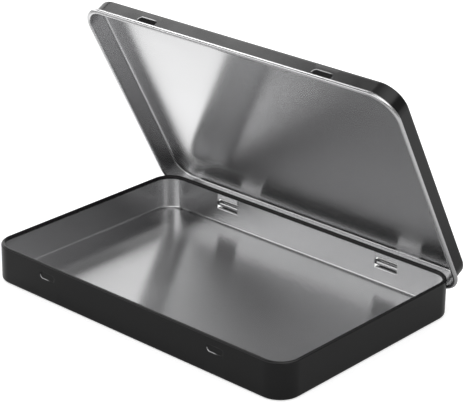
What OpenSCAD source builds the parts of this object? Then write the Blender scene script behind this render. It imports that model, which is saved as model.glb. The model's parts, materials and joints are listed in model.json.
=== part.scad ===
// Flat hinged tin for a card game, pressed from thin sheet in two pieces.
// The base's rim is curled inwards and the lid's rim outwards. Two tongues, cut from the base's rear
// wall and bent out of their windows, are rolled round the lid's rear curl, which turns in them.
// The origin is the middle of the base's underside. +X is along the hinge, -Y is the front.

/* [Sheet] */
// Thickness of the sheet
sheet_t = 0.3; // [0.2:0.01:0.4]

/* [Base tray] */
// Length over the walls, along the hinge
base_l = 180; // [150:1:240]
// Depth over the walls, front to back
base_w = 120; // [80:1:180]
// Height
base_h = 18.2; // [16:0.1:40]
// Outer radius of the upright corners
corner_r = 11; // [6:0.5:20]
// Outer radius of the bend between floor and wall
floor_bend_r = 1.5; // [0.8:0.1:2.5]
// Outer radius of the rim's inward curl
base_curl_r = 1; // [0.8:0.05:1.3]

/* [Lid] */
// Height of the lid, from its rim to the top of its panel
lid_h = 10.3; // [9:0.1:12]
// Outer radius of the bend between panel and skirt
panel_bend_r = 1.6; // [0.8:0.1:2.5]
// Outer radius of the rim's outward curl, which is the hinge's pin
lid_curl_r = 1.15; // [0.9:0.05:1.4]
// Gap between the base's walls and the lid's skirt
skirt_gap = 0.55; // [0.5:0.05:1]
// Gap between the base's rim and the lid's panel when shut
panel_gap = 0.4; // [0.3:0.05:1]
// How far the lid stands open, in degrees
lid_open = 61.5; // [0:0.5:160]

/* [Curls] */
// Part of a full circle that each curl is rolled through, in degrees
curl_turn = 300; // [240:5:320]

/* [Hinge] */
// Distance of each tongue's middle from the middle of the tin
hinge_x = 50; // [30:1:60]
// Width of each tongue
tongue_w = 12.6; // [8:0.1:16]
// Gap at each side of a tongue in its window
window_side_gap = 0.35; // [0.2:0.05:0.8]
// Strip of wall between a window and the rim's curl
window_strip_h = 0.6; // [0.3:0.1:1.5]
// Inner radius of the bend where a tongue leaves the wall
tongue_bend_r = 0.5; // [0.2:0.1:1]
// Running gap between the lid's curl and the rolled tongue
pin_gap = 0.4; // [0.1:0.05:0.5]
// Angle that a tongue is rolled through, from the point under the curl
tongue_turn = 200; // [180:5:210]
// Gap at each side of a tongue in the lid's slot
slot_side_gap = 1.4; // [0.3:0.1:2]
// Gap between a rolled tongue and the upper edge of the lid's slot, up the skirt's outer face
slot_head_gap = 0.3; // [0.2:0.05:1.5]

/* [Catches] */
// Distance of each catch's middle from the middle of the tin
catch_x = 52; // [30:1:60]
// Height of the base dent's middle above the lid's rim when shut
catch_h = 3.9; // [3.6:0.1:4.5]
// Length of the dent in the base's wall
base_dent_l = 10; // [6:0.5:16]
// Height of the dent in the base's wall
base_dent_h = 3.7; // [2:0.1:4]
// Depth of the dent in the base's wall
base_dent_d = 0.6; // [0.3:0.05:0.8]
// How much higher the lid's dent lies than the base's when shut
lid_dent_lift = 0.6; // [0:0.1:0.8]
// Length of the dent in the lid's skirt
lid_dent_l = 11.3; // [6:0.1:16]
// Height of the dent in the lid's skirt
lid_dent_h = 4.2; // [2:0.1:4.4]
// Depth of the dent in the lid's skirt, seen from outside
lid_dent_d = 0.35; // [0.2:0.01:0.4]
// Height of the bump that the lid's dent raises inside the skirt
lid_bump_d = 0.2; // [0.1:0.01:0.22]

/* [Hidden] */

corner_fn = 48;
curl_fn = 28;
bend_fn = 24;
dent_fn = 48;
cut_over = 1;      // how far a cutting shape runs past what it cuts

base_wall_y = base_w / 2;
lid_outset = skirt_gap + sheet_t;
lid_l = base_l + 2 * lid_outset;
lid_w = base_w + 2 * lid_outset;
lid_corner_r = corner_r + lid_outset;
lid_rim_z = base_h + panel_gap + sheet_t - lid_h;

// The hinge turns about the middle of the lid's rear curl.
hinge_y = base_wall_y + skirt_gap + lid_curl_r;
hinge_z = lid_rim_z + lid_curl_r;

roll_in_r = lid_curl_r + pin_gap;
roll_out_r = roll_in_r + sheet_t;
tongue_out_r = tongue_bend_r + sheet_t;
window_w = tongue_w + 2 * window_side_gap;
window_z0 = hinge_z - roll_out_r - tongue_bend_r;
window_z1 = base_h - 2 * base_curl_r - window_strip_h;
slot_w = tongue_w + 2 * slot_side_gap;
slot_top = lid_curl_r + sqrt(pow(roll_out_r, 2) - pow(lid_curl_r - sheet_t, 2)) + slot_head_gap;
catch_z = lid_rim_z + catch_h;
lid_dent_z = catch_h + lid_dent_lift;   // above the lid's rim

// Radius of the round tool that presses a dent of height h and depth d.
function dent_r(h, d) = (h * h / 4 + d * d) / (2 * d);

// Part of a ring, from angle a0 anticlockwise through turn degrees, drawn by cutting out the rest.
module ring_part(r_out, r_in, a0, turn, fn) {
    rest = 360 - turn;
    reach = 3 * r_out;
    difference() {
        circle(r = r_out, $fn = fn);
        circle(r = r_in, $fn = fn);
        polygon([
            [0, 0],
            for (i = [0:2]) let (a = a0 + turn + rest * i / 2) [reach * cos(a), reach * sin(a)]
        ]);
    }
}

// A quarter ring that fills the quadrant from angle a0 to a0 + 90.
module quarter_ring(r_out, r_in, a0, fn) {
    intersection() {
        difference() {
            circle(r = r_out, $fn = fn);
            circle(r = r_in, $fn = fn);
        }
        rotate(a0)
            square(r_out + cut_over);
    }
}

// Carries a profile round a rectangle of size l by w with corners of radius r.
// The profile's x axis points outwards from the rectangle's edge, and its y axis up.
module around(l, w, r) {
    for (i = [0:3]) {
        side_l = i % 2 == 0 ? w - 2 * r : l - 2 * r;
        side_out = i % 2 == 0 ? l / 2 : w / 2;
        rotate([0, 0, 90 * i])
            translate([side_out, 0, 0])
                rotate([90, 0, 0])
                    linear_extrude(side_l, center = true)
                        children();
    }
    for (sx = [-1, 1], sy = [-1, 1])
        translate([sx * (l / 2 - r), sy * (w / 2 - r), 0])
            rotate([0, 0, sx > 0 ? (sy > 0 ? 0 : 270) : (sy > 0 ? 90 : 180)])
                rotate_extrude(angle = 90, $fn = corner_fn)
                    translate([r, 0])
                        children();
}

// A flat sheet of size l by w with corners of radius r.
module round_plate(l, w, r) {
    linear_extrude(sheet_t) {
        square([l - 2 * r, w], center = true);
        square([l, w - 2 * r], center = true);
        for (sx = [-1, 1], sy = [-1, 1])
            translate([sx * (l / 2 - r), sy * (w / 2 - r)])
                circle(r = r, $fn = corner_fn);
    }
}

// A round bar along X with ball ends, l long over the dent that it presses.
module dent_bar(r, l, h) {
    bar_l = l - h;
    rotate([0, 90, 0])
        cylinder(r = r, h = bar_l, center = true, $fn = dent_fn);
    for (s = [-1, 1])
        translate([s * bar_l / 2, 0, 0])
            sphere(r = r, $fn = dent_fn);
}

module at_catches(y, z) {
    for (s = [-1, 1])
        translate([s * catch_x, y, z])
            children();
}

module at_hinges() {
    for (s = [-1, 1])
        translate([s * hinge_x, 0, 0])
            children();
}

// Section of the base's wall: floor bend, upright sheet and inward curl.
module base_wall_profile() {
    translate([-floor_bend_r, floor_bend_r])
        quarter_ring(floor_bend_r, floor_bend_r - sheet_t, 270, bend_fn);
    translate([-sheet_t, floor_bend_r])
        square([sheet_t, base_h - base_curl_r - floor_bend_r]);
    translate([-base_curl_r, base_h - base_curl_r])
        ring_part(base_curl_r, base_curl_r - sheet_t, 0, curl_turn, curl_fn);
}

// Section of one tongue across the hinge, in the Y-Z plane: it bends out over the window's lower
// edge, passes under the lid's curl and is rolled round it.
module tongue_profile() {
    translate([base_wall_y + tongue_bend_r, window_z0])
        quarter_ring(tongue_out_r, tongue_bend_r, 90, bend_fn);
    translate([base_wall_y + tongue_bend_r, hinge_z - roll_out_r])
        square([hinge_y - base_wall_y - tongue_bend_r, sheet_t]);
    translate([hinge_y, hinge_z])
        ring_part(roll_out_r, roll_in_r, -90, tongue_turn, curl_fn);
}

module tongue() {
    rotate([90, 0, 90])
        linear_extrude(tongue_w, center = true)
            tongue_profile();
}

module base_tray() {
    bar_r = dent_r(base_dent_h, base_dent_d);
    bar_y = -base_wall_y + base_dent_d - bar_r;
    color("#26262a") {
        difference() {
            union() {
                round_plate(
                    base_l - 2 * floor_bend_r, base_w - 2 * floor_bend_r, corner_r - floor_bend_r
                );
                around(base_l, base_w, corner_r)
                    base_wall_profile();
                // The sheet that a dent pushes into the tray, from the middle of the wall inwards.
                intersection() {
                    at_catches(bar_y, catch_z)
                        dent_bar(bar_r + sheet_t, base_dent_l, base_dent_h);
                    translate([-base_l / 2, -base_wall_y + sheet_t / 2, 0])
                        cube([base_l, base_dent_d + sheet_t, base_h]);
                }
            }
            at_catches(bar_y, catch_z)
                dent_bar(bar_r, base_dent_l, base_dent_h);
            at_hinges()
                translate([-window_w / 2, base_wall_y - sheet_t - cut_over, window_z0])
                    cube([window_w, sheet_t + 2 * cut_over, window_z1 - window_z0]);
        }
        at_hinges()
            tongue();
    }
}

// Section of the lid's skirt above its curl, with the bend to the panel.
module skirt_profile() {
    translate([-sheet_t, lid_curl_r])
        square([sheet_t, lid_h - panel_bend_r - lid_curl_r]);
    translate([-panel_bend_r, lid_h - panel_bend_r])
        quarter_ring(panel_bend_r, panel_bend_r - sheet_t, 0, bend_fn);
}

// Section of the lid's outward curl. It starts at the skirt and is rolled down, out and up.
module lid_curl_profile() {
    translate([lid_curl_r - sheet_t, lid_curl_r])
        ring_part(lid_curl_r, lid_curl_r - sheet_t, 180, curl_turn, curl_fn);
}

// The lid as it lies shut, measured from its rim.
module lid_shut() {
    bar_t = lid_bump_d + sheet_t - lid_dent_d;
    bar_r = dent_r(lid_dent_h, lid_dent_d);
    bar_y = -lid_w / 2 + lid_dent_d - bar_r;
    difference() {
        union() {
            translate([0, 0, lid_h - sheet_t])
                round_plate(
                    lid_l - 2 * panel_bend_r, lid_w - 2 * panel_bend_r, lid_corner_r - panel_bend_r
                );
            around(lid_l, lid_w, lid_corner_r)
                skirt_profile();
            intersection() {
                at_catches(bar_y, lid_dent_z)
                    dent_bar(bar_r + bar_t, lid_dent_l, lid_dent_h);
                translate([-lid_l / 2, -lid_w / 2 + sheet_t - bar_t / 2, 0])
                    cube([lid_l, sheet_t + lid_bump_d, lid_h]);
            }
        }
        at_catches(bar_y, lid_dent_z)
            dent_bar(bar_r, lid_dent_l, lid_dent_h);
        at_hinges()
            translate([-slot_w / 2, lid_w / 2 - sheet_t - cut_over, lid_curl_r])
                cube([slot_w, sheet_t + 2 * cut_over, slot_top - lid_curl_r]);
    }
    around(lid_l, lid_w, lid_corner_r)
        lid_curl_profile();
}

module lid() {
    color("#2c2c30")
        translate([0, hinge_y, hinge_z])
            rotate([-lid_open, 0, 0])
                translate([0, -hinge_y, lid_rim_z - hinge_z])
                    lid_shut();
}

base_tray();
lid();
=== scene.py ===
"""The looks of a flat hinged tin: two pressings of thin sheet, black outside and bare tinplate inside."""

import json
import math

import bmesh
import bpy
from bpy.props import FloatProperty, FloatVectorProperty, IntProperty, PointerProperty
from mathutils import Matrix, Vector


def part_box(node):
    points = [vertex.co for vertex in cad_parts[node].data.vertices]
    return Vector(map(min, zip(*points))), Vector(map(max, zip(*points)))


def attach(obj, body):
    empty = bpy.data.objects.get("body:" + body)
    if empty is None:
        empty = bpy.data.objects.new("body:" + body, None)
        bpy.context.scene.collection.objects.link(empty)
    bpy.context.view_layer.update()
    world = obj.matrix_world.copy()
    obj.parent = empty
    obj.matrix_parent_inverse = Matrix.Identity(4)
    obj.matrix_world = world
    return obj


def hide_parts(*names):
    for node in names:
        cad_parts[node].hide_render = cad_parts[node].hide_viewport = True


bl_info = {
    "name": "Hinged Tin",
    "version": (1, 0, 0),
    "blender": (4, 5, 0),
    "location": "View3D > Sidebar > Tin",
    "description": "Models a flat hinged tin from two pressings of thin sheet, with its stage",
    "category": "Add Mesh",
}

MM = 0.001
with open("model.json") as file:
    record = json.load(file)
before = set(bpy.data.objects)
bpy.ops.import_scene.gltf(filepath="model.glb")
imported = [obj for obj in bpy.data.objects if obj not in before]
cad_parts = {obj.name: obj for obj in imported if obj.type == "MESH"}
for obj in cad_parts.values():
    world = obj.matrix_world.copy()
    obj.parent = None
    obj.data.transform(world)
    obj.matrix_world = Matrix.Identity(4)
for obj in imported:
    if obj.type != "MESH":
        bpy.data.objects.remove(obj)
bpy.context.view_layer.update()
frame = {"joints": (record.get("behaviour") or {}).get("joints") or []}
TRAY_LOW, TRAY_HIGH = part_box("base_tray")
HINGE = frame["joints"][0]

X_AXIS = Vector((1, 0, 0))
Y_AXIS = Vector((0, 1, 0))
Z_AXIS = Vector((0, 0, 1))

BARE_FACE = 1  # material index of the bare side and of the cut edges; the lacquered side has 0
SHARP_ANGLE = math.radians(40)
MERGE_DISTANCE = 1e-6
ROLL_DISTANCE = 1e-5  # slack in height at the end of a rolled bend
SHEET_MAP = "sheet"  # UV map of the flat blank, one unit to the millimetre
# On the tongues this layer is real rubbing; at the dents it is partly rubbing and partly a painted
# highlight, bare metal that shows bright
WEAR_AND_HIGHLIGHT_LAYER = "wear"  # how far the lacquer is rubbed off, from 0 to 1

DENT_COLUMNS = 60
DENT_ROWS = 26
DENT_MARGIN = 0.22  # gridded flat round a dent, as a share of the dent's height
DENT_EDGE = 0.4  # share of the half height over which a dent's side slopes
DENT_WEAR_AND_HIGHLIGHT_RISE = 1.4  # how fast the bare band, partly a painted highlight, grows from a dent's middle to its rubbing side
TRAY_DENT_LEAN = 0.7
LID_DENT_LEAN = 1
# Place and half width of a dent's bare band, and how far along it reaches; the bare metal stands partly
# for rubbing and partly for a painted highlight
TRAY_DENT_WEAR_AND_HIGHLIGHT_BAND = (0.8, 0.2, 0.95)
LID_DENT_WEAR_AND_HIGHLIGHT_BAND = (1.13, 0.3, 1.5)

WEAR_SHOWS = (0.25, 0.6)  # wear at which metal begins to show, and at which only metal shows
NOISE_RANGE = (0.3, 0.7)  # what a noise texture mostly stays within
BUMP_HEIGHT = 0.00002  # metres
PEEL_SCALE = 900
HAZE_SCALE = 60
HAZE_SPREAD = 0.05
ROLLED_SCALE = 2.6
CLOUD_SCALE = 26
CLOUD_SPREAD = 0.02

# Sockets of a mix node, for plain numbers and for colours
MIX_FACTOR = 0
MIX_A, MIX_B, MIX_OUT = 2, 3, 0
MIX_COLOUR_A, MIX_COLOUR_B, MIX_COLOUR_OUT = 6, 7, 2


def size(name, description, millimetres):
    """A length that a user may change, given in millimetres."""
    return FloatProperty(
        name=name, description=description, default=millimetres * MM, min=0, unit="LENGTH"
    )


def turn(name, description, degrees):
    """An angle that a user may change, given in degrees."""
    return FloatProperty(
        name=name, description=description, default=math.radians(degrees), subtype="ANGLE"
    )


def tint(name, description, colour):
    """A colour that a user may change."""
    return FloatVectorProperty(
        name=name, description=description, default=colour, subtype="COLOR", size=3, min=0, max=1
    )


def level(name, description, value):
    """A share from 0 to 1 that a user may change."""
    return FloatProperty(
        name=name, description=description, default=value, min=0, max=1, subtype="FACTOR"
    )


class TinSizes(bpy.types.PropertyGroup):
    """Sizes of the two pressings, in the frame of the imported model."""

    sheet_t: size("Sheet", "Thickness of the sheet", 0.3)
    corner_r: size("Corner radius", "Outer radius of the tray's upright corners", 11)
    floor_bend_r: size("Floor bend", "Outer radius of the bend between floor and wall", 1.5)
    base_curl_r: size("Tray curl", "Outer radius of the tray's inward curl", 1.0)
    lid_h: size("Lid height", "Height from the lid's rim to the top of its panel", 10.3)
    panel_bend_r: size("Panel bend", "Outer radius of the bend between panel and skirt", 1.6)
    lid_curl_r: size("Lid curl", "Outer radius of the lid's outward curl", 1.15)
    skirt_gap: size("Skirt gap", "Gap between the tray's walls and the lid's skirt", 0.55)
    curl_turn: turn("Curl turn", "Angle that each curl is rolled through", 300)
    hinge_x: size("Hinge place", "Distance of each tongue's middle from the tin's middle", 50)
    tongue_w: size("Tongue width", "Width of each hinge tongue", 12.6)
    window_side_gap: size("Window gap", "Gap at each side of a tongue in its window", 0.35)
    window_strip_h: size("Window strip", "Strip of wall between a window and the curl", 0.6)
    tongue_bend_r: size("Tongue bend", "Inner radius of the bend where a tongue leaves", 0.5)
    pin_gap: size("Pin gap", "Running gap between the lid's curl and a rolled tongue", 0.4)
    tongue_turn: turn("Tongue turn", "Angle that a tongue is rolled through", 200)
    slot_side_gap: size("Slot gap", "Gap at each side of a tongue in the lid's slot", 1.4)
    slot_head_gap: size("Slot headroom", "Gap between a tongue and its slot's upper edge", 0.12)
    catch_x: size("Catch place", "Distance of each catch's middle from the tin's middle", 52)
    catch_h: size("Catch height", "Height of the tray dent's middle above the lid's rim", 3.9)
    base_dent_l: size("Tray dent length", "Length of the dent in the tray's wall", 10)
    base_dent_h: size("Tray dent height", "Height of the dent in the tray's wall", 3.9)
    base_dent_d: size("Tray dent depth", "Depth of the dent in the tray's wall", 0.7)
    lid_dent_lift: size("Lid dent lift", "How much higher the lid's dent lies when shut", 0.3)
    lid_dent_l: size("Lid dent length", "Length of the dent in the lid's skirt", 11.3)
    lid_dent_h: size("Lid dent height", "Height of the dent in the lid's skirt", 3.6)
    lid_dent_d: size("Lid dent depth", "Depth of the dent in the lid's skirt", 0.55)
    corner_steps: IntProperty(name="Corner steps", description="Steps round a corner", default=20)
    curl_steps: IntProperty(name="Curl steps", description="Steps round a curl", default=32)
    bend_steps: IntProperty(name="Bend steps", description="Steps round a bend", default=8)


class TinFinish(bpy.types.PropertyGroup):
    """Colours and gloss of the sheet's two sides."""

    lacquer: tint("Lacquer", "Colour of the lacquer", (0.008, 0.008, 0.0082))
    lacquer_rough: level("Lacquer roughness", "Roughness of the lacquer", 0.22)
    lacquer_gloss: level("Lacquer gloss", "Strength of the lacquer's mirror image", 0.3)
    tinplate: tint("Tinplate", "Colour of the bare tinplate", (0.56, 0.56, 0.565))
    tinplate_rough: level("Tinplate roughness", "Roughness of the bare tinplate", 0.22)
    tinplate_grain: level("Tinplate grain", "How much the rolling grain smears gloss", 0.9)
    tongue_wear: level("Tongue wear", "Wear of the lacquer on the rolled tongues", 0.36)
    # At the dents the bare metal is partly rubbing and partly a painted highlight
    base_dent_wear_and_highlight: level("Tray dent wear", "Wear of the lacquer at the tray's dents", 0.46)
    lid_dent_wear_and_highlight: level("Lid dent wear", "Wear of the lacquer at the lid's dents", 0.44)


class StageSizes(bpy.types.PropertyGroup):
    """The camera's place, as solved from the photograph, and the colour of the floor."""

    azimuth: turn("Azimuth", "Angle of the camera round the tin", 41.770)
    elevation: turn("Elevation", "Angle of the camera above the table", 23.665)
    roll: turn("Roll", "Turn of the camera about its own axis", 0.752)
    distance: size("Distance", "Distance of the camera from its target", 854.4)
    target_x: size("Target X", "The target's place along the hinge", 10.83)
    target_z: size("Target Z", "The target's height", 44.71)
    floor: tint("Floor", "Colour of the floor", (0.86, 0.86, 0.86))


PICTURE_W = 463  # pixels
PICTURE_H = 405  # pixels
FOCAL_PIXELS = 1897.5
CENTRE_PIXEL = (238.39, 212.39)
SENSOR_W = 36  # millimetres
CAMERA_CLIP = (0.01, 100)  # metres

FLOOR_HALF = 6
FLOOR_GLOW = 0.6  # for the camera alone
# Painted shade: the floor's colour as gloss sees it, darker than in the camera's view
FLOOR_IN_GLOSS = 0.35
LAMP_PLACE = (-0.62, 0.26, 0.78)
LAMP_TARGET = (0, 0, 0.05)
LAMP_SIZE = (0.45, 0.32)
LAMP_WATTS = 1.8

# What gloss sees of the floor and the surround. Each ramp is a span and the levels at its two ends.
# The POOL ramps paint a pool of light onto the floor, a glow that only gloss sees: faint everywhere,
# rising far to the tin's right, and bright to its left, more so behind
POOL_X = ((-0.1, -0.05), (1.1, 0))
POOL_Y = ((-0.08, 0.02), (0.1, 1))
POOL_FAR = ((0.12, 0.18), (0.2, 0.6))
SIDE_X = 0.66  # with SIDE_Y, the directions to the back right and the front right
SIDE_Y = 0.75
FRONT_RIGHT = ((0.8, 0.92), (1, 0.15))
BACK_RIGHT = ((0.2, 0.75), (1.4, 0.25))
HORIZON = ((0.1, 0.3), (0.15, 1.6))
OFF_FRONT_LEFT = ((-0.5, -0.1), (0, 1))
OVERHEAD = ((-0.5, 0.5), (0.35, 2.2))
LOW_TO_HIGH = ((0.45, 0.72), (0, 1))
BAND_BOTTOM = ((0.44, 0.52), (0, 1))
BAND_SLANT = 0.15
BAND_TOP = ((0.64, 0.76), (1, 0))
BAND_DARK = ((-0.1, 0.2), (0.75, 0.9))
DIFFUSE_LEVEL = 0.8


class Sheet:
    """A section of sheet that is drawn by runs and bends and then carried round the tin.

    The line is the sheet's lacquered side, in the X-Z plane through a corner's centre."""

    def __init__(self, bm, corner, x, z):
        self.bm = bm
        self.corner = Vector(corner)
        self.end = bm.verts.new(self.corner + Vector((x, 0, z)))
        self.verts = [self.end]
        self.edges = []

    def _add(self, geom):
        self.edges += [g for g in geom if isinstance(g, bmesh.types.BMEdge)]

    def run(self, dx, dz):
        """A straight run of sheet."""
        made = bmesh.ops.extrude_vert_indiv(self.bm, verts=[self.end])
        self.end = made["verts"][0]
        self.end.co += Vector((dx, 0, dz))
        self.verts.append(self.end)
        self._add(made["edges"])

    def bend(self, x, z, angle, steps):
        """A round bend about a centre; a positive angle turns anticlockwise, with X to the right."""
        centre = self.corner + Vector((x, 0, z))
        before = set(self.bm.verts), set(self.bm.edges)
        made = bmesh.ops.spin(
            self.bm, geom=[self.end], cent=centre, axis=Y_AXIS, angle=-angle, steps=steps
        )
        self.end = next(g for g in made["geom_last"] if isinstance(g, bmesh.types.BMVert))
        self.verts += [v for v in self.bm.verts if v not in before[0]]
        self._add([e for e in self.bm.edges if e not in before[1]])

    def carry_round(self, steps):
        """Carries the section round one corner and along half of each side, and mirrors that."""
        bm = self.bm
        first = list(self.edges)
        made = bmesh.ops.spin(
            bm,
            geom=self.verts + first,
            cent=self.corner,
            axis=Z_AXIS,
            angle=math.radians(90),
            steps=steps,
        )
        last = [g for g in made["geom_last"] if isinstance(g, bmesh.types.BMEdge)]
        pull(bm, first, Vector((0, -self.corner.y, 0)))
        pull(bm, last, Vector((-self.corner.x, 0, 0)))
        for axis in ("X", "Y"):
            bmesh.ops.mirror(bm, geom=list(bm.faces), axis=axis, merge_dist=MERGE_DISTANCE)
            bmesh.ops.remove_doubles(bm, verts=bm.verts, dist=MERGE_DISTANCE)


def pull(bm, edges, step):
    """Pulls a strip of sheet out of some edges and returns its new edges."""
    made = bmesh.ops.extrude_edge_only(bm, edges=edges)["geom"]
    bmesh.ops.translate(
        bm, verts=[g for g in made if isinstance(g, bmesh.types.BMVert)], vec=step
    )
    return [g for g in made if isinstance(g, bmesh.types.BMEdge) and g.is_boundary]


def roll(bm, edges, centre, angle, steps):
    """Rolls a strip of sheet out of some edges about the X axis through a point."""
    verts = list({v for e in edges for v in e.verts})
    made = bmesh.ops.spin(
        bm, geom=verts + list(edges), cent=centre, axis=X_AXIS, angle=angle, steps=steps
    )
    return [g for g in made["geom_last"] if isinstance(g, bmesh.types.BMEdge)]


def fill_plate(bm, z):
    """Closes the flat plate, floor or panel, that the carried section leaves open at height z."""
    edges = [
        e
        for e in bm.edges
        if e.is_boundary and all(abs(v.co.z - z) < MERGE_DISTANCE for v in e.verts)
    ]
    bmesh.ops.holes_fill(bm, edges=edges, sides=0)


def wall_faces(bm, y, low_z, high_z, low_x=-1.0, high_x=1.0):
    """The faces of the flat wall at depth y that reach into a stretch of it."""
    found = []
    for f in bm.faces:
        if any(abs(v.co.y - y) > MERGE_DISTANCE for v in f.verts):
            continue
        zs = [v.co.z for v in f.verts]
        xs = [v.co.x for v in f.verts]
        reaches_z = min(zs) < high_z - MERGE_DISTANCE and max(zs) > low_z + MERGE_DISTANCE
        reaches_x = min(xs) < high_x - MERGE_DISTANCE and max(xs) > low_x + MERGE_DISTANCE
        if reaches_z and reaches_x:
            found.append(f)
    return found


def score(bm, faces, point, normal):
    """Cuts a line into some faces with a plane."""
    geom = set(faces)
    for f in faces:
        geom.update(f.edges)
        geom.update(f.verts)
    bmesh.ops.bisect_plane(
        bm, geom=list(geom), dist=MERGE_DISTANCE, plane_co=point, plane_no=normal
    )


def grid_wall(bm, y, xs, zs):
    """Scores lines at xs and zs into the flat wall at depth y, inside the box that they span."""
    low_x, high_x = min(xs), max(xs)
    low_z, high_z = min(zs), max(zs)
    for x in xs:
        score(bm, wall_faces(bm, y, low_z, high_z, low_x, high_x), Vector((x, y, 0)), X_AXIS)
    for z in zs:
        score(bm, wall_faces(bm, y, low_z, high_z, low_x, high_x), Vector((0, y, z)), Z_AXIS)


def spread(low, high, count):
    """Evenly spread places from low to high."""
    return [low + (high - low) * i / count for i in range(count + 1)]


def press_dent(bm, y, x, z, dent_sizes, lean, rubbing_and_highlit_side, wear_and_highlight_sizes):
    """Presses a long dent with round ends into a flat wall that faces -Y.

    The dent's sizes are its length, height and depth. The rubbing side, 1 for the upper and -1 for the
    lower, is where the catch rubs; from there to the other side the bottom leans in by a share of
    the depth. A band of bare metal there stands partly for rubbing and partly for a painted highlight;
    its sizes are its strength, the place and half width of its band as shares of the half height, and
    how far along it reaches."""
    length, height, depth = dent_sizes
    worn_and_highlit, band, band_w, highlight_reach = wear_and_highlight_sizes
    margin = DENT_MARGIN * height
    half_l = length / 2 + margin
    half_h = height / 2 + margin
    xs = spread(x - half_l, x + half_l, DENT_COLUMNS)
    zs = spread(z - half_h, z + half_h, DENT_ROWS)
    grid_wall(bm, y, xs, zs)
    wear = bm.verts.layers.float.get(WEAR_AND_HIGHLIGHT_LAYER) or bm.verts.layers.float.new(WEAR_AND_HIGHLIGHT_LAYER)
    straight = (length - height) / 2
    for v in {v for f in wall_faces(bm, y, z - half_h, z + half_h) for v in f.verts}:
        along = v.co.x - x
        across = max(abs(along) - straight, 0)
        up = (v.co.z - z) * rubbing_and_highlit_side / (height / 2)
        reach = math.hypot(across, v.co.z - z) / (height / 2)
        if reach < 1:
            slope = min((1 - reach) / DENT_EDGE, 1)
            v.co.y += depth * slope * slope * (3 - 2 * slope) * (1 - lean * (1 + up) / 2)
        # Painted highlight, partly also rubbing: bare metal in a band near the dent's rim, on its rubbing
        # side and round its left end, fading towards its right end
        highlight_band_share = min(max(2 - 2 * abs(reach - band) / band_w, 0), 1)
        end = max(-along - straight, 0) / (height / 2)
        upper = min(max(up * DENT_WEAR_AND_HIGHLIGHT_RISE + end, 0), 1)
        left = min(max(highlight_reach - along / (length / 2), 0), 1)
        v[wear] = max(v[wear], worn_and_highlit * highlight_band_share * upper * left)


def cut_opening(bm, y, low_x, high_x, low_z, high_z, marks=()):
    """Cuts a rectangular opening out of a flat wall, with extra scored lines at the marks."""
    grid_wall(bm, y, [low_x, *marks, high_x], [low_z, high_z])
    inside = [
        f
        for f in wall_faces(bm, y, low_z, high_z, low_x, high_x)
        if low_x < f.calc_center_median().x < high_x and low_z < f.calc_center_median().z < high_z
    ]
    bmesh.ops.delete(bm, geom=inside, context="FACES")


def face_outwards(bm, outward):
    """Turns all faces to the lacquered side; outward is where the flat plate's face has to point."""
    bmesh.ops.recalc_face_normals(bm, faces=bm.faces)
    plate = max(bm.faces, key=lambda f: f.calc_area())
    if plate.normal.dot(outward) < 0:
        bmesh.ops.reverse_faces(bm, faces=bm.faces)


def map_blank(bm, corner, plate_z):
    """Maps the pressing back onto its flat blank, so that the rolling grain follows the walls."""
    layer = bm.loops.layers.uv.new(SHEET_MAP)
    for f in bm.faces:
        for loop in f.loops:
            co = loop.vert.co
            out = Vector((
                co.x - min(max(co.x, -corner[0]), corner[0]),
                co.y - min(max(co.y, -corner[1]), corner[1]),
            ))
            place = Vector((co.x, co.y)) + out.normalized() * abs(co.z - plate_z)
            loop[layer].uv = place / MM


def sheet_piece(name, bm, thickness, finish):
    """Makes an object of the lacquered surface and gives it the sheet's thickness and bare side."""
    outer = shared_material("black_lacquer", lacquer_material, finish)
    bare = shared_material("bare_tinplate", tinplate_material, finish)
    mesh = bpy.data.meshes.new(name)
    bm.to_mesh(mesh)
    bm.free()
    mesh.materials.append(outer)
    mesh.materials.append(bare)
    mesh.shade_smooth()
    mesh.set_sharp_from_angle(angle=SHARP_ANGLE)
    piece = bpy.data.objects.new(name, mesh)
    bpy.context.scene.collection.objects.link(piece)
    solid = piece.modifiers.new("Sheet", "SOLIDIFY")
    solid.thickness = thickness
    solid.offset = -1
    solid.use_even_offset = True
    solid.material_offset = BARE_FACE
    solid.material_offset_rim = BARE_FACE
    flat = piece.modifiers.new("Flat faces", "WEIGHTED_NORMAL")
    flat.weight = 100
    flat.keep_sharp = True
    return piece


def new_material(name):
    """An empty node material with a Principled shader; returns it, its nodes, links and shader."""
    material = bpy.data.materials.new(name)
    material.use_nodes = True
    tree = material.node_tree
    shader = next(n for n in tree.nodes if n.type == "BSDF_PRINCIPLED")
    return material, tree.nodes, tree.links, shader


def math_node(nodes, links, operation, *values):
    """A math node on sockets or plain numbers; returns its output."""
    node = nodes.new("ShaderNodeMath")
    node.operation = operation
    for socket, value in zip(node.inputs, values):
        if isinstance(value, (int, float)):
            socket.default_value = value
        else:
            links.new(value, socket)
    return node.outputs[0]


def ramp(nodes, links, source, span, values):
    """A smooth ramp over a span of the source, from one value to another."""
    node = nodes.new("ShaderNodeMapRange")
    node.interpolation_type = "SMOOTHSTEP"
    node.inputs["From Min"].default_value, node.inputs["From Max"].default_value = span
    node.inputs["To Min"].default_value, node.inputs["To Max"].default_value = values
    links.new(source, node.inputs["Value"])
    return node.outputs["Result"]


def grain(nodes, links, scale, stretch, detail, output="Object"):
    """Noise in object or sheet space, stretched along one axis; returns its output socket."""
    place = nodes.new("ShaderNodeTexCoord")
    mapping = nodes.new("ShaderNodeMapping")
    mapping.inputs["Scale"].default_value = stretch
    noise = nodes.new("ShaderNodeTexNoise")
    noise.inputs["Scale"].default_value = scale
    noise.inputs["Detail"].default_value = detail
    links.new(place.outputs[output], mapping.inputs["Vector"])
    links.new(mapping.outputs["Vector"], noise.inputs["Vector"])
    return noise.outputs["Fac"]


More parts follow.
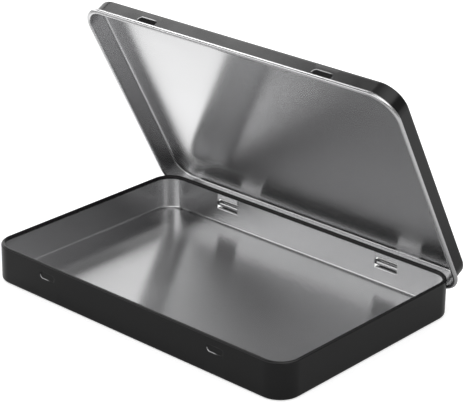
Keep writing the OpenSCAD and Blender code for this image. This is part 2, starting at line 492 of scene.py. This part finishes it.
def remap(nodes, links, source, low, high):
    """Maps a noise, from its usual range, onto the range low to high."""
    node = nodes.new("ShaderNodeMapRange")
    node.inputs["From Min"].default_value, node.inputs["From Max"].default_value = NOISE_RANGE
    node.inputs["To Min"].default_value = low
    node.inputs["To Max"].default_value = high
    links.new(source, node.inputs["Value"])
    return node.outputs["Result"]


def bumped(nodes, links, source, strength):
    """A faint bump; returns its normal."""
    bump = nodes.new("ShaderNodeBump")
    bump.inputs["Strength"].default_value = strength
    bump.inputs["Distance"].default_value = BUMP_HEIGHT
    links.new(source, bump.inputs["Height"])
    return bump.outputs["Normal"]


def lacquer_material(finish):
    """Black satin lacquer with a faint orange peel."""
    material, nodes, links, shader = new_material("black_lacquer")
    peel = grain(nodes, links, PEEL_SCALE, (1, 1, 1), 2)
    haze = grain(nodes, links, HAZE_SCALE, (1, 1, 1), 4)
    low, high = finish.lacquer_rough - HAZE_SPREAD, finish.lacquer_rough + HAZE_SPREAD
    rough = remap(nodes, links, haze, low, high)
    links.new(rough, shader.inputs["Roughness"])
    links.new(bumped(nodes, links, peel, 0.25), shader.inputs["Normal"])
    # Bare metal where the layer says so: real rubbing on the tongues, and at the dents partly a painted
    # highlight
    worn_and_highlit = nodes.new("ShaderNodeAttribute")
    worn_and_highlit.attribute_name = WEAR_AND_HIGHLIGHT_LAYER
    bare = ramp(nodes, links, worn_and_highlit.outputs["Fac"], WEAR_SHOWS, (0, 1))
    colour = nodes.new("ShaderNodeMix")
    colour.data_type = "RGBA"
    links.new(bare, colour.inputs[MIX_FACTOR])
    colour.inputs[MIX_COLOUR_A].default_value = (*finish.lacquer, 1)
    colour.inputs[MIX_COLOUR_B].default_value = (*finish.tinplate, 1)
    links.new(colour.outputs[MIX_COLOUR_OUT], shader.inputs["Base Color"])
    links.new(bare, shader.inputs["Metallic"])
    shader.inputs["Specular IOR Level"].default_value = finish.lacquer_gloss
    return material


def tinplate_material(finish):
    """Bare tinplate: satin, with the fine grain of rolled sheet along the tin's length."""
    material, nodes, links, shader = new_material("bare_tinplate")
    rolled = grain(nodes, links, ROLLED_SCALE, (0.03, 1, 1), 4, "UV")
    cloud = grain(nodes, links, CLOUD_SCALE, (0.5, 1, 1), 3)
    low, high = finish.tinplate_rough - CLOUD_SPREAD, finish.tinplate_rough + CLOUD_SPREAD
    rough = remap(nodes, links, cloud, low, high)
    links.new(rough, shader.inputs["Roughness"])
    links.new(bumped(nodes, links, rolled, 0.04), shader.inputs["Normal"])
    tangent = nodes.new("ShaderNodeTangent")
    tangent.direction_type = "UV_MAP"
    tangent.uv_map = SHEET_MAP
    links.new(tangent.outputs[0], shader.inputs["Tangent"])
    shader.inputs["Anisotropic"].default_value = finish.tinplate_grain
    shader.inputs["Anisotropic Rotation"].default_value = 0.25
    shader.inputs["Base Color"].default_value = (*finish.tinplate, 1)
    shader.inputs["Metallic"].default_value = 1
    return material


def shared_material(name, make, finish):
    """The material of that name, made once."""
    return bpy.data.materials.get(name) or make(finish)


def tray_sizes():
    """The tray's half length, half depth and height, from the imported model."""
    return (TRAY_HIGH.x - TRAY_LOW.x) / 2, -TRAY_LOW.y, TRAY_HIGH.z


class TIN_OT_base_tray(bpy.types.Operator):
    """Model the tray with its curled rim, dents, windows and rolled hinge tongues"""

    bl_idname = "tin.base_tray"
    bl_label = "Base Tray"

    def execute(self, context):
        s = context.scene.tin_sizes
        finish = context.scene.tin_finish
        half_l, half_w, height = tray_sizes()
        hinge = Vector(HINGE["pos_m"])
        bm = bmesh.new()

        corner = (half_l - s.corner_r, half_w - s.corner_r, 0)
        sheet = Sheet(bm, corner, s.corner_r - s.floor_bend_r, 0)
        sheet.bend(s.corner_r - s.floor_bend_r, s.floor_bend_r, math.radians(90), s.bend_steps)
        sheet.run(0, height - s.base_curl_r - s.floor_bend_r)
        sheet.bend(s.corner_r - s.base_curl_r, height - s.base_curl_r, s.curl_turn, s.curl_steps)
        sheet.carry_round(s.corner_steps)
        fill_plate(bm, 0)

        rim_z = hinge.z - s.lid_curl_r
        for side in (-1, 1):
            # Each dent gets a bare band, partly rubbing and partly a painted highlight
            press_dent(
                bm,
                -half_w,
                side * s.catch_x,
                rim_z + s.catch_h,
                (s.base_dent_l, s.base_dent_h, s.base_dent_d),
                TRAY_DENT_LEAN,
                -1,
                (finish.base_dent_wear_and_highlight, *TRAY_DENT_WEAR_AND_HIGHLIGHT_BAND),
            )

        roll_r = s.lid_curl_r + s.pin_gap + s.sheet_t
        window_z0 = hinge.z - roll_r - s.tongue_bend_r
        window_z1 = height - 2 * s.base_curl_r - s.window_strip_h
        for side in (-1, 1):
            middle = side * s.hinge_x
            low_x, high_x = middle - s.tongue_w / 2, middle + s.tongue_w / 2
            cut_opening(
                bm,
                half_w,
                low_x - s.window_side_gap,
                high_x + s.window_side_gap,
                window_z0,
                window_z1,
                (low_x, high_x),
            )
            root = [
                e
                for e in bm.edges
                if e.is_boundary
                and all(
                    abs(v.co.z - window_z0) < MERGE_DISTANCE
                    and low_x - MERGE_DISTANCE < v.co.x < high_x + MERGE_DISTANCE
                    for v in e.verts
                )
            ]
            bend_at = Vector((0, half_w + s.tongue_bend_r, window_z0))
            edges = roll(bm, root, bend_at, math.radians(-90), s.bend_steps)
            edges = pull(bm, edges, Vector((0, hinge.y - bend_at.y, 0)))
            level_z = hinge.z - roll_r
            edges = [
                e
                for e in edges
                if all(
                    abs(v.co.y - hinge.y) < MERGE_DISTANCE
                    and abs(v.co.z - level_z) < ROLL_DISTANCE
                    for v in e.verts
                )
            ]
            roll(bm, edges, Vector((0, hinge.y, hinge.z)), s.tongue_turn, s.curl_steps)
        wear = bm.verts.layers.float[WEAR_AND_HIGHLIGHT_LAYER]
        for v in bm.verts:
            if v.co.y > half_w + s.tongue_bend_r / 2:
                v[wear] = finish.tongue_wear

        face_outwards(bm, -Z_AXIS)
        map_blank(bm, corner, 0)
        piece = sheet_piece("base_tray_pressing", bm, s.sheet_t, finish)
        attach(piece, "base")
        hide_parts("base_tray")
        return {"FINISHED"}


class TIN_OT_lid(bpy.types.Operator):
    """Model the lid with its curled rim, dents and hinge slots, and swing it open"""

    bl_idname = "tin.lid"
    bl_label = "Lid"

    def execute(self, context):
        s = context.scene.tin_sizes
        finish = context.scene.tin_finish
        half_l, half_w, _height = tray_sizes()
        hinge = Vector(HINGE["pos_m"])
        outset = s.skirt_gap + s.sheet_t
        half_l += outset
        half_w += outset
        corner_r = s.corner_r + outset
        rim_z = hinge.z - s.lid_curl_r
        top_z = rim_z + s.lid_h
        bm = bmesh.new()

        corner = (half_l - corner_r, half_w - corner_r, 0)
        sheet = Sheet(bm, corner, corner_r - s.panel_bend_r, top_z)
        sheet.bend(
            corner_r - s.panel_bend_r, top_z - s.panel_bend_r, math.radians(-90), s.bend_steps
        )
        sheet.run(0, s.panel_bend_r + s.lid_curl_r - s.lid_h)
        sheet.bend(
            corner_r - s.sheet_t + s.lid_curl_r, rim_z + s.lid_curl_r, s.curl_turn, s.curl_steps
        )
        sheet.carry_round(s.corner_steps)
        fill_plate(bm, top_z)

        for side in (-1, 1):
            # Each dent gets a bare band, partly rubbing and partly a painted highlight
            press_dent(
                bm,
                -half_w,
                side * s.catch_x,
                rim_z + s.catch_h + s.lid_dent_lift,
                (s.lid_dent_l, s.lid_dent_h, s.lid_dent_d),
                LID_DENT_LEAN,
                1,
                (finish.lid_dent_wear_and_highlight, *LID_DENT_WEAR_AND_HIGHLIGHT_BAND),
            )
            half_slot = s.tongue_w / 2 + s.slot_side_gap
            roll_r = s.lid_curl_r + s.pin_gap + s.sheet_t
            roll_top = math.sqrt(roll_r**2 - (s.lid_curl_r - s.sheet_t) ** 2)
            cut_opening(
                bm,
                half_w,
                side * s.hinge_x - half_slot,
                side * s.hinge_x + half_slot,
                hinge.z,
                hinge.z + roll_top + s.slot_head_gap,
            )

        face_outwards(bm, Z_AXIS)
        map_blank(bm, corner, top_z)
        open_turn = math.radians(HINGE["range_deg"][0])
        bmesh.ops.rotate(
            bm, verts=bm.verts, cent=hinge, matrix=Matrix.Rotation(open_turn, 3, "X")
        )
        piece = sheet_piece("lid_pressing", bm, s.sheet_t, finish)
        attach(piece, "lid")
        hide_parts("lid")
        return {"FINISHED"}


def aim(obj, target):
    """Turns a lamp to face a point."""
    direction = Vector(target) - obj.location
    obj.rotation_euler = direction.to_track_quat("-Z", "Y").to_euler()


def softbox(name, place, target, width, depth, watts):
    """A rectangular area lamp that faces the target."""
    lamp = bpy.data.lights.new(name, "AREA")
    lamp.shape = "RECTANGLE"
    lamp.size = width
    lamp.size_y = depth
    lamp.energy = watts
    obj = bpy.data.objects.new(name, lamp)
    obj.location = place
    bpy.context.scene.collection.objects.link(obj)
    aim(obj, target)


def floor_material(colour):
    """A pale floor that keeps the tin's shadow; gloss sees it darker, as painted shade, with a painted
    pool of light that glows.
    """
    material = bpy.data.materials.new("studio_floor")
    material.use_nodes = True
    nodes, links = material.node_tree.nodes, material.node_tree.links
    nodes.clear()
    out = nodes.new("ShaderNodeOutputMaterial")
    place = nodes.new("ShaderNodeTexCoord")
    parts = nodes.new("ShaderNodeSeparateXYZ")
    links.new(place.outputs["Object"], parts.inputs[0])
    path = nodes.new("ShaderNodeLightPath")
    is_glossy = path.outputs["Is Glossy Ray"]
    tone = nodes.new("ShaderNodeMix")
    tone.data_type = "RGBA"
    links.new(is_glossy, tone.inputs[MIX_FACTOR])
    tone.inputs[MIX_COLOUR_A].default_value = (*colour, 1)
    tone.inputs[MIX_COLOUR_B].default_value = (FLOOR_IN_GLOSS, FLOOR_IN_GLOSS, FLOOR_IN_GLOSS, 1)
    diffuse = nodes.new("ShaderNodeBsdfDiffuse")
    links.new(tone.outputs[MIX_COLOUR_OUT], diffuse.inputs["Color"])
    glow = nodes.new("ShaderNodeEmission")
    # Painted pool of light: a glow that only gloss sees
    pool_x = ramp(nodes, links, parts.outputs["X"], *POOL_X)
    pool_y = ramp(nodes, links, parts.outputs["Y"], *POOL_Y)
    far = ramp(nodes, links, parts.outputs["X"], *POOL_FAR)
    pool = math_node(nodes, links, "MULTIPLY_ADD", pool_x, pool_y, far)
    camera = math_node(nodes, links, "MULTIPLY", path.outputs["Is Camera Ray"], FLOOR_GLOW)
    glossy = math_node(nodes, links, "MULTIPLY", is_glossy, pool)
    links.new(math_node(nodes, links, "ADD", camera, glossy), glow.inputs["Strength"])
    both = nodes.new("ShaderNodeAddShader")
    links.new(diffuse.outputs[0], both.inputs[0])
    links.new(glow.outputs[0], both.inputs[1])
    links.new(both.outputs[0], out.inputs["Surface"])
    return material


def studio_world():
    """A white surround. Gloss sees a studio of its own instead.

    Low down that is lit on the left and in front, above a dim horizon, and dim on the right and
    behind. High up it grows brighter to the right, and a dark band lies between."""
    world = bpy.data.worlds.new("studio")
    bpy.context.scene.world = world
    world.use_nodes = True
    nodes, links = world.node_tree.nodes, world.node_tree.links
    back = next(n for n in nodes if n.type == "BACKGROUND")
    place = nodes.new("ShaderNodeTexCoord")
    parts = nodes.new("ShaderNodeSeparateXYZ")
    links.new(place.outputs["Generated"], parts.inputs[0])
    along = math_node(nodes, links, "MULTIPLY", parts.outputs["X"], SIDE_X)
    behind = math_node(nodes, links, "MULTIPLY_ADD", parts.outputs["Y"], SIDE_Y, along)
    in_front = math_node(nodes, links, "MULTIPLY_ADD", parts.outputs["Y"], -SIDE_Y, along)
    front_right = ramp(nodes, links, in_front, *FRONT_RIGHT)
    back_right = ramp(nodes, links, behind, *BACK_RIGHT)
    rise = ramp(nodes, links, parts.outputs["Z"], *HORIZON)
    strip = nodes.new("ShaderNodeMix")
    links.new(ramp(nodes, links, behind, *OFF_FRONT_LEFT), strip.inputs[MIX_FACTOR])
    links.new(rise, strip.inputs[MIX_A])
    strip.inputs[MIX_B].default_value = 1
    low = math_node(nodes, links, "MULTIPLY", back_right, front_right)
    low = math_node(nodes, links, "MULTIPLY", low, strip.outputs[MIX_OUT])
    high = ramp(nodes, links, parts.outputs["X"], *OVERHEAD)
    blend = ramp(nodes, links, parts.outputs["Z"], *LOW_TO_HIGH)
    mixed = nodes.new("ShaderNodeMix")
    links.new(blend, mixed.inputs[MIX_FACTOR])
    links.new(low, mixed.inputs[MIX_A])
    links.new(high, mixed.inputs[MIX_B])
    over_bottom = ramp(nodes, links, parts.outputs["Z"], *BAND_BOTTOM)
    height = parts.outputs["Z"]
    slant = math_node(nodes, links, "MULTIPLY_ADD", parts.outputs["X"], BAND_SLANT, height)
    under_top = ramp(nodes, links, slant, *BAND_TOP)
    dark = ramp(nodes, links, parts.outputs["Y"], *BAND_DARK)
    band = math_node(nodes, links, "MULTIPLY", over_bottom, under_top)
    band = math_node(nodes, links, "MULTIPLY", band, dark)
    kept = math_node(nodes, links, "SUBTRACT", 1, band)
    studio = math_node(nodes, links, "MULTIPLY", mixed.outputs[MIX_OUT], kept)
    path = nodes.new("ShaderNodeLightPath")
    glossy = math_node(nodes, links, "MULTIPLY", path.outputs["Is Glossy Ray"], studio)
    diffuse = math_node(nodes, links, "MULTIPLY", path.outputs["Is Diffuse Ray"], DIFFUSE_LEVEL)
    some = math_node(nodes, links, "ADD", glossy, diffuse)
    links.new(
        math_node(nodes, links, "ADD", some, path.outputs["Is Camera Ray"]),
        back.inputs["Strength"],
    )
    back.inputs["Color"].default_value = (1, 1, 1, 1)


def place_camera(stage):
    """The photograph's camera: a long lens at the solved angles, with a small shift."""
    az, el, roll_angle = stage.azimuth, stage.elevation, stage.roll
    back = Vector((math.sin(az) * math.cos(el), -math.cos(az) * math.cos(el), math.sin(el)))
    right = Vector((math.cos(az), math.sin(az), 0))
    up = back.cross(right)
    right_r = math.cos(roll_angle) * right + math.sin(roll_angle) * up
    up_r = back.cross(right_r)
    data = bpy.data.cameras.new("camera")
    data.sensor_fit = "HORIZONTAL"
    data.sensor_width = SENSOR_W
    data.lens = FOCAL_PIXELS / PICTURE_W * SENSOR_W
    data.shift_x = (PICTURE_W / 2 - CENTRE_PIXEL[0]) / PICTURE_W
    data.shift_y = (CENTRE_PIXEL[1] - PICTURE_H / 2) / PICTURE_W
    data.clip_start, data.clip_end = CAMERA_CLIP
    camera = bpy.data.objects.new("camera", data)
    bpy.context.scene.collection.objects.link(camera)
    turned = Matrix((right_r, up_r, back)).transposed().to_4x4()
    place = Vector((stage.target_x, 0, stage.target_z)) + back * stage.distance
    camera.matrix_world = Matrix.Translation(place) @ turned
    bpy.context.scene.camera = camera


class TIN_OT_stage(bpy.types.Operator):
    """Set up the pale floor, the soft studio light and the camera"""

    bl_idname = "tin.stage"
    bl_label = "Stage"

    def execute(self, context):
        stage = context.scene.tin_stage
        bm = bmesh.new()
        bmesh.ops.create_grid(bm, x_segments=1, y_segments=1, size=FLOOR_HALF)
        mesh = bpy.data.meshes.new("floor")
        bm.to_mesh(mesh)
        bm.free()
        floor = bpy.data.objects.new("floor", mesh)
        mesh.materials.append(floor_material(stage.floor))
        bpy.context.scene.collection.objects.link(floor)

        softbox("softbox_top", LAMP_PLACE, LAMP_TARGET, *LAMP_SIZE, LAMP_WATTS)
        studio_world()
        place_camera(stage)
        context.scene.view_settings.view_transform = "Standard"
        return {"FINISHED"}


class TIN_PT_sidebar(bpy.types.Panel):
    """Lists the tin's pieces and its stage"""

    bl_idname = "TIN_PT_sidebar"
    bl_label = "Hinged Tin"
    bl_space_type = "VIEW_3D"
    bl_region_type = "UI"
    bl_category = "Tin"

    def draw(self, context):
        column = self.layout.column()
        for operator in PIECE_OPERATORS:
            column.operator(operator.bl_idname)
        for group in (context.scene.tin_sizes, context.scene.tin_finish, context.scene.tin_stage):
            box = self.layout.box()
            for name in group.bl_rna.properties.keys():
                if name not in ("rna_type", "name"):
                    box.prop(group, name)


PIECE_OPERATORS = (TIN_OT_base_tray, TIN_OT_lid, TIN_OT_stage)
CLASSES = (TinSizes, TinFinish, StageSizes, *PIECE_OPERATORS, TIN_PT_sidebar)


def register():
    """Registers the classes and hangs the settings on the scene."""
    for cls in CLASSES:
        bpy.utils.register_class(cls)
    bpy.types.Scene.tin_sizes = PointerProperty(type=TinSizes)
    bpy.types.Scene.tin_finish = PointerProperty(type=TinFinish)
    bpy.types.Scene.tin_stage = PointerProperty(type=StageSizes)


def unregister():
    """Takes the settings and the classes away again."""
    del bpy.types.Scene.tin_stage
    del bpy.types.Scene.tin_finish
    del bpy.types.Scene.tin_sizes
    for cls in reversed(CLASSES):
        bpy.utils.unregister_class(cls)


def main():
    """Builds the tin and its stage."""
    register()
    bpy.ops.tin.base_tray()
    bpy.ops.tin.lid()
    bpy.ops.tin.stage()
    bpy.context.view_layer.update()


if __name__ == "__main__":
    main()
